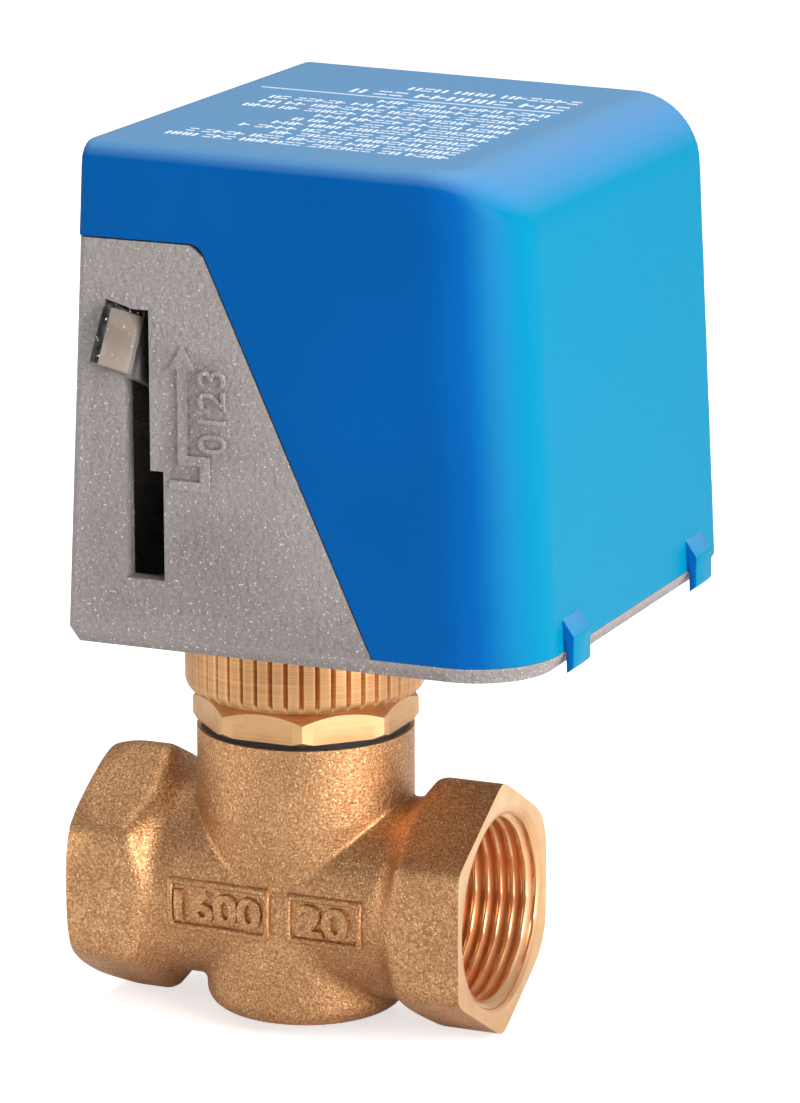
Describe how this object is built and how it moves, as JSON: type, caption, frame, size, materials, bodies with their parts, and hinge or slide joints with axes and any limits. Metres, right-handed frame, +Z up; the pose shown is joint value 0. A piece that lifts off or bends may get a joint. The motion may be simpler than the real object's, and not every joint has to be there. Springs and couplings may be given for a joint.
{
  "type": "zone valve",
  "caption": "Motorised two-way zone valve: brass body with female pipe ports, knurled union nut and a clip-on actuator with a manual opening lever.",
  "frame": {"origin": "on the pipe axis, at the first thread crest inside the left port's mouth", "axes": "+X along the pipe run from the left port to the right port, +Z up along the valve stem towards the actuator, +Y to the back, away from the lever side"},
  "size_m": [0.0756, 0.0742, 0.1219],
  "materials": {
    "forged_brass": "shot-blasted forging with machined port faces",
    "machined_brass": "turned and knurled, bright",
    "diecast": "fine hammered grey finish on die-cast zinc",
    "blue_cover": "satin moulded plastic",
    "nickel": "bright nickel plate",
    "zinc_sheet": "zinc-plated sheet steel",
    "steel": "bright steel",
    "spring_steel": "spring wire",
    "gear_plastic": "natural acetal",
    "gear_brass": "pressed brass",
    "seal_rubber": "matt black",
    "motor_steel": "plated drawn steel",
    "terminal_plastic": "white moulding",
    "cable_pvc": "matt black sheath",
    "wire_pvc": "coloured insulation"
  },
  "bodies": {
    "body": {"valve_body": "forged_brass", "bonnet": "machined_brass", "bonnet_gasket": "seal_rubber", "stem_gland": "machined_brass", "stem_o_rings": "seal_rubber", "valve_spring": "spring_steel", "nut_clip": "spring_steel", "base_casting": "diecast", "frame_plate_left": "zinc_sheet", "frame_plate_right": "zinc_sheet", "frame_spacers": "steel", "frame_screws": "steel", "foot_screws": "steel", "return_spring": "spring_steel", "gear_b_axle": "steel", "gear_a_axle": "steel", "motor_can": "motor_steel", "motor_plate": "zinc_sheet", "motor_screws": "steel", "terminal_block": "terminal_plastic", "terminal_screws": "steel", "cable_grommet": "seal_rubber", "cable": "cable_pvc", "lead_wires": "wire_pvc"},
    "cover_shell": {"cover": "blue_cover"},
    "output_shaft": {"main_shaft": "steel", "shaft_clip": "spring_steel", "drive_sector": "gear_plastic", "manual_lever": "nickel"},
    "second_gear": {"gear_b": "gear_plastic"},
    "first_gear": {"gear_a": "gear_plastic"},
    "motor_rotor": {"motor_pinion": "gear_brass"},
    "stem_assembly": {"stem": "steel", "plug_seal": "seal_rubber", "plug_holder": "machined_brass", "plug_nut": "steel", "plug_clip": "spring_steel", "spring_cup": "steel", "spring_clip": "spring_steel"},
    "union_nut": {"coupling_nut": "machined_brass"}
  },
  "joints": [
    {"name": "lever_swing", "type": "hinge", "parent": "body", "child": "output_shaft", "pos_m": [0.03125, 0.005, 0.0635], "axis": [1, 0, 0], "range_deg": [0, 35]},
    {"name": "second_gear_spin", "type": "hinge", "parent": "body", "child": "second_gear", "pos_m": [0.03125, 0.01625, 0.08299], "axis": [1, 0, 0], "range_deg": [-141, 0]},
    {"name": "first_gear_spin", "type": "hinge", "parent": "body", "child": "first_gear", "pos_m": [0.03125, 0.00309, 0.08777], "axis": [1, 0, 0], "range_deg": [0, 515]},
    {"name": "motor_spin", "type": "hinge", "parent": "body", "child": "motor_rotor", "pos_m": [0.03125, -0.00814, 0.08253], "axis": [1, 0, 0], "range_deg": [-2140, 0]},
    {"name": "stem_slide", "type": "slide", "parent": "body", "child": "stem_assembly", "axis": [0, 0, -1], "range_m": [0, 0.00306], "deforming": ["valve_spring"]},
    {"name": "nut_turn", "type": "hinge", "parent": "body", "child": "union_nut", "pos_m": [0.02625, 0, 0.036], "axis": [0, 0, 1], "continuous": true},
    {"name": "cover_lift", "type": "slide", "parent": "body", "child": "cover_shell", "axis": [0, 0, 1], "range_m": [0, 0.07]}
  ],
  "couplings": [
    {"joint": "second_gear_spin", "follows": "lever_swing", "ratio": -4},
    {"joint": "first_gear_spin", "follows": "lever_swing", "ratio": 14.667},
    {"joint": "motor_spin", "follows": "lever_swing", "ratio": -61.111},
    {"joint": "stem_slide", "follows": "lever_swing", "m_per_rad": 0.005}
  ]
}
